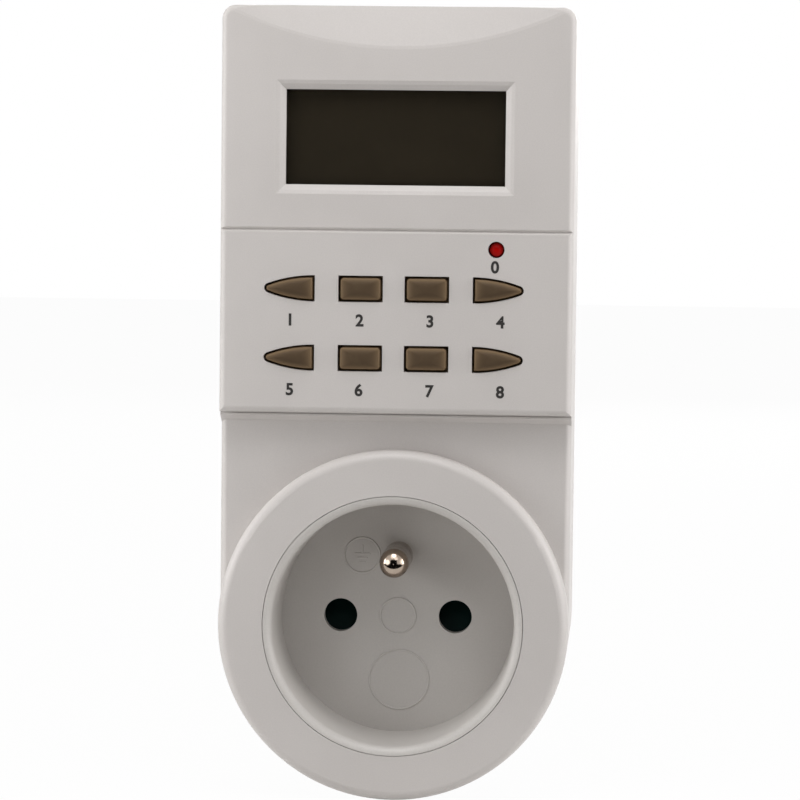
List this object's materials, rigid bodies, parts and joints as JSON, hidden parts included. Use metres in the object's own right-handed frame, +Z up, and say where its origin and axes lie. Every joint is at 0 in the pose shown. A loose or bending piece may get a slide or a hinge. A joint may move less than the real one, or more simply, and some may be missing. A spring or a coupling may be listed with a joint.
{
  "type": "digital weekly timer",
  "caption": "Plug-in weekly timer: grey housing with earthed plug behind, pin-earth socket in front, display and press keys above the socket.",
  "frame": {"origin": "middle of the plug's end face", "axes": "+X right and +Z up as the user faces it, +Y out through the plug towards the wall"},
  "size_m": [0.057, 0.0693, 0.1286],
  "materials": {
    "housing_plastic": "satin moulded, fine texture",
    "insert_plastic": "satin moulded",
    "key_rubber": "soft satin",
    "reset_plastic": "glossy",
    "shutter_plastic": "satin",
    "inner_plastic": "plain moulded",
    "window_plastic": "clear, glossy",
    "display_glass": "dark, glossy",
    "display_rubber": "matt",
    "board_laminate": "solder-masked laminate",
    "resin": "glossy drip",
    "nickel_plate": "bright plated",
    "contact_brass": "stamped, plain",
    "spring_steel": "drawn wire",
    "screw_steel": "zinc plated",
    "can_metal": "sleeved can",
    "film_case": "moulded case",
    "component_dark": "moulded case",
    "disc_coating": "dipped coating",
    "resistor_coating": "dipped coating",
    "relay_case": "moulded case",
    "coil_copper": "enamelled winding",
    "yoke_iron": "plated iron",
    "cable_pvc": "flat ribbon"
  },
  "bodies": {
    "case": {"front_housing": "housing_plastic", "front_cover": "housing_plastic", "rear_cover": "housing_plastic", "socket_insert": "insert_plastic", "plug_base": "insert_plastic", "neutral_plug_pin": "nickel_plate", "live_plug_pin": "nickel_plate", "earth_pin": "nickel_plate", "earth_sleeve": "contact_brass", "neutral_contact": "contact_brass", "live_contact": "contact_brass", "live_busbar": "contact_brass", "earth_strap": "contact_brass", "shutter_spring": "spring_steel", "shutter_plate": "inner_plastic", "keypad_mat": "key_rubber", "control_board": "board_laminate", "power_board": "board_laminate", "display_window": "window_plastic", "display_glass": "display_glass", "display_frame": "inner_plastic", "elastomer_strips": "display_rubber", "chip_cap": "resin", "clock_crystal": "can_metal", "backup_battery": "can_metal", "control_capacitors": "can_metal", "ribbon_cable": "cable_pvc", "dropper_capacitor": "film_case", "smoothing_capacitor": "can_metal", "surge_varistor": "disc_coating", "rectifier_diodes": "component_dark", "fuse_resistor": "resistor_coating", "driver_transistor": "component_dark", "relay_cover": "relay_case", "relay_base": "component_dark", "relay_coil": "coil_copper", "relay_yoke": "yoke_iron", "relay_contact": "contact_brass", "case_screws": "screw_steel", "control_board_screws": "screw_steel", "power_board_screws": "screw_steel", "shutter_plate_screws": "screw_steel"},
    "day_key": {"day_key": "key_rubber"},
    "hour_key": {"hour_key": "key_rubber"},
    "minute_key": {"minute_key": "key_rubber"},
    "recall_key": {"recall_key": "key_rubber"},
    "clock_key": {"clock_key": "key_rubber"},
    "program_key": {"program_key": "key_rubber"},
    "mode_key": {"mode_key": "key_rubber"},
    "random_key": {"random_key": "key_rubber"},
    "reset_button": {"reset_button": "reset_plastic"},
    "shutter": {"shutter": "shutter_plastic"},
    "relay_armature": {"relay_armature": "yoke_iron"}
  },
  "joints": [
    {"name": "day_key_press", "type": "slide", "parent": "case", "child": "day_key", "axis": [0, 1, 0], "range_m": [0, 0.001], "stiffness_N_per_m": 1200, "springref_m": -0.0003},
    {"name": "hour_key_press", "type": "slide", "parent": "case", "child": "hour_key", "axis": [0, 1, 0], "range_m": [0, 0.001], "stiffness_N_per_m": 1200, "springref_m": -0.0003},
    {"name": "minute_key_press", "type": "slide", "parent": "case", "child": "minute_key", "axis": [0, 1, 0], "range_m": [0, 0.001], "stiffness_N_per_m": 1200, "springref_m": -0.0003},
    {"name": "recall_key_press", "type": "slide", "parent": "case", "child": "recall_key", "axis": [0, 1, 0], "range_m": [0, 0.001], "stiffness_N_per_m": 1200, "springref_m": -0.0003},
    {"name": "clock_key_press", "type": "slide", "parent": "case", "child": "clock_key", "axis": [0, 1, 0], "range_m": [0, 0.001], "stiffness_N_per_m": 1200, "springref_m": -0.0003},
    {"name": "program_key_press", "type": "slide", "parent": "case", "child": "program_key", "axis": [0, 1, 0], "range_m": [0, 0.001], "stiffness_N_per_m": 1200, "springref_m": -0.0003},
    {"name": "mode_key_press", "type": "slide", "parent": "case", "child": "mode_key", "axis": [0, 1, 0], "range_m": [0, 0.001], "stiffness_N_per_m": 1200, "springref_m": -0.0003},
    {"name": "random_key_press", "type": "slide", "parent": "case", "child": "random_key", "axis": [0, 1, 0], "range_m": [0, 0.001], "stiffness_N_per_m": 1200, "springref_m": -0.0003},
    {"name": "reset_button_press", "type": "slide", "parent": "case", "child": "reset_button", "axis": [0, 1, 0], "range_m": [0, 0.001], "stiffness_N_per_m": 1200, "springref_m": -0.0003},
    {"name": "shutter_slide", "type": "slide", "parent": "case", "child": "shutter", "axis": [0, 0, -1], "range_m": [0, 0.0056], "stiffness_N_per_m": 120, "springref_m": -0.004, "deforming": ["shutter_spring"]},
    {"name": "armature_rock", "type": "hinge", "parent": "case", "child": "relay_armature", "pos_m": [-0.0158, -0.0247, 0.0744], "axis": [1, 0, 0], "range_deg": [0, 5], "stiffness_Nm_per_rad": 0.02, "springref_deg": -2.86}
  ]
}
